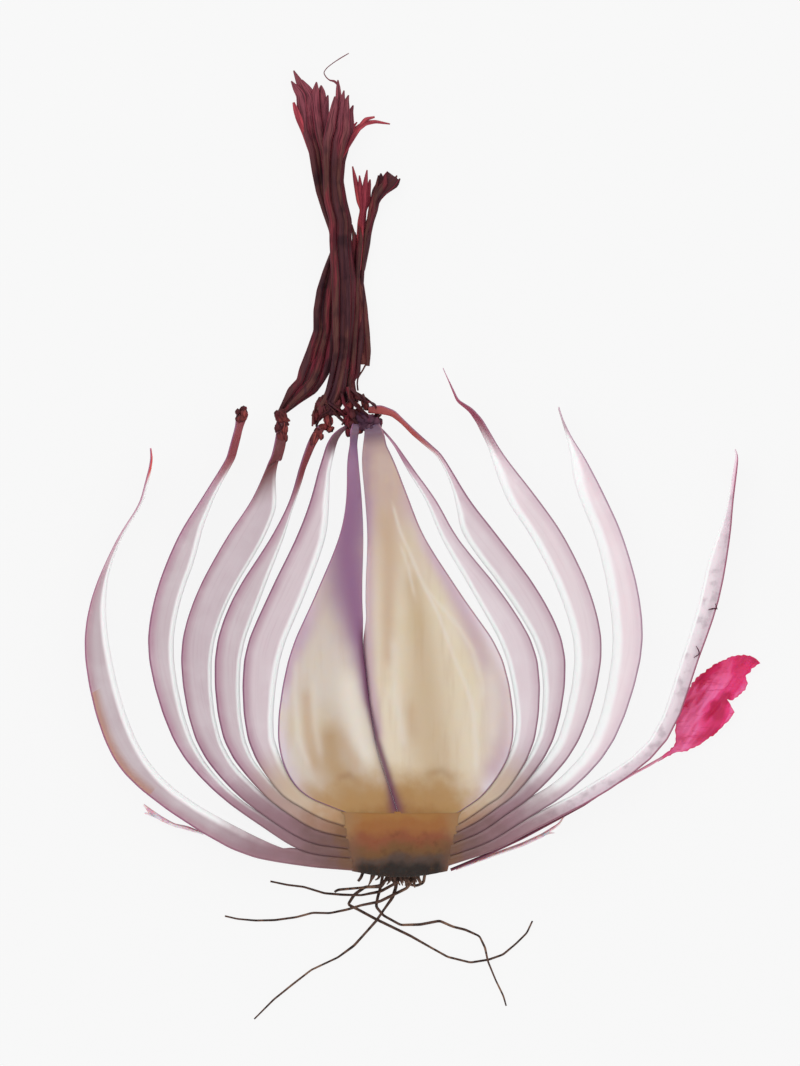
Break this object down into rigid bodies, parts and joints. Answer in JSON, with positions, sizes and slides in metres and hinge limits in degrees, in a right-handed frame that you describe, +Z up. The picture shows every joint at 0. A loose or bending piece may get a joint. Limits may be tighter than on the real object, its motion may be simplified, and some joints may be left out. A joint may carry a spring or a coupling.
{
  "type": "onion slice",
  "caption": "Lengthwise slice of a red onion lying on its cut face, with its layers fanned apart, a basal plate with wiry roots, a dry neck and torn papery skin.",
  "frame": {"origin": "middle of the basal plate, on the cut face that the slice rests on", "axes": "+Z up out of the table, through the slice; +Y along the bulb from its roots to its dry neck; +X to the right of the upper cut face"},
  "size_m": [0.0878, 0.1264, 0.006],
  "materials": {
    "flesh_left": "moist cut flesh, mauve grey with a dark purple outer line",
    "flesh_right": "moist cut flesh, pale pinkish grey with a purple outer line",
    "heart_flesh": "moist cut flesh, cream and ochre",
    "plate_wood": "damp woody plate, orange brown to nearly black",
    "dry_leaf": "dry ridged leaf, maroon",
    "pink_skin": "thin translucent skin, bright pink",
    "pale_skin": "thin translucent skin, pale pink",
    "root_brown": "dry wiry root, dark brown"
  },
  "bodies": {
    "root": {"basal_plate": "plate_wood", "heart_left": "heart_flesh", "heart_right": "heart_flesh", "left_scale_1": "flesh_left", "left_scale_2": "flesh_left", "left_scale_3": "flesh_left", "left_scale_4": "flesh_left", "left_scale_5": "flesh_left", "right_scale_1": "flesh_right", "right_scale_2": "flesh_right", "right_scale_3": "flesh_right", "right_scale_4": "flesh_right", "right_scale_5": "flesh_right", "neck_leaf_left": "dry_leaf", "neck_leaf_middle": "dry_leaf", "neck_leaf_right": "dry_leaf", "neck_shred_left": "dry_leaf", "neck_shred_middle": "dry_leaf", "neck_shred_right": "dry_leaf", "neck_thread": "dry_leaf", "neck_knot": "dry_leaf", "skin_flap_right": "pink_skin", "skin_sliver_left": "pale_skin", "skin_sliver_right": "pale_skin", "root_1": "root_brown", "root_2": "root_brown", "root_3": "root_brown", "root_4": "root_brown", "root_5": "root_brown", "root_6": "root_brown", "root_7": "root_brown", "root_8": "root_brown"}
  },
  "joints": []
}
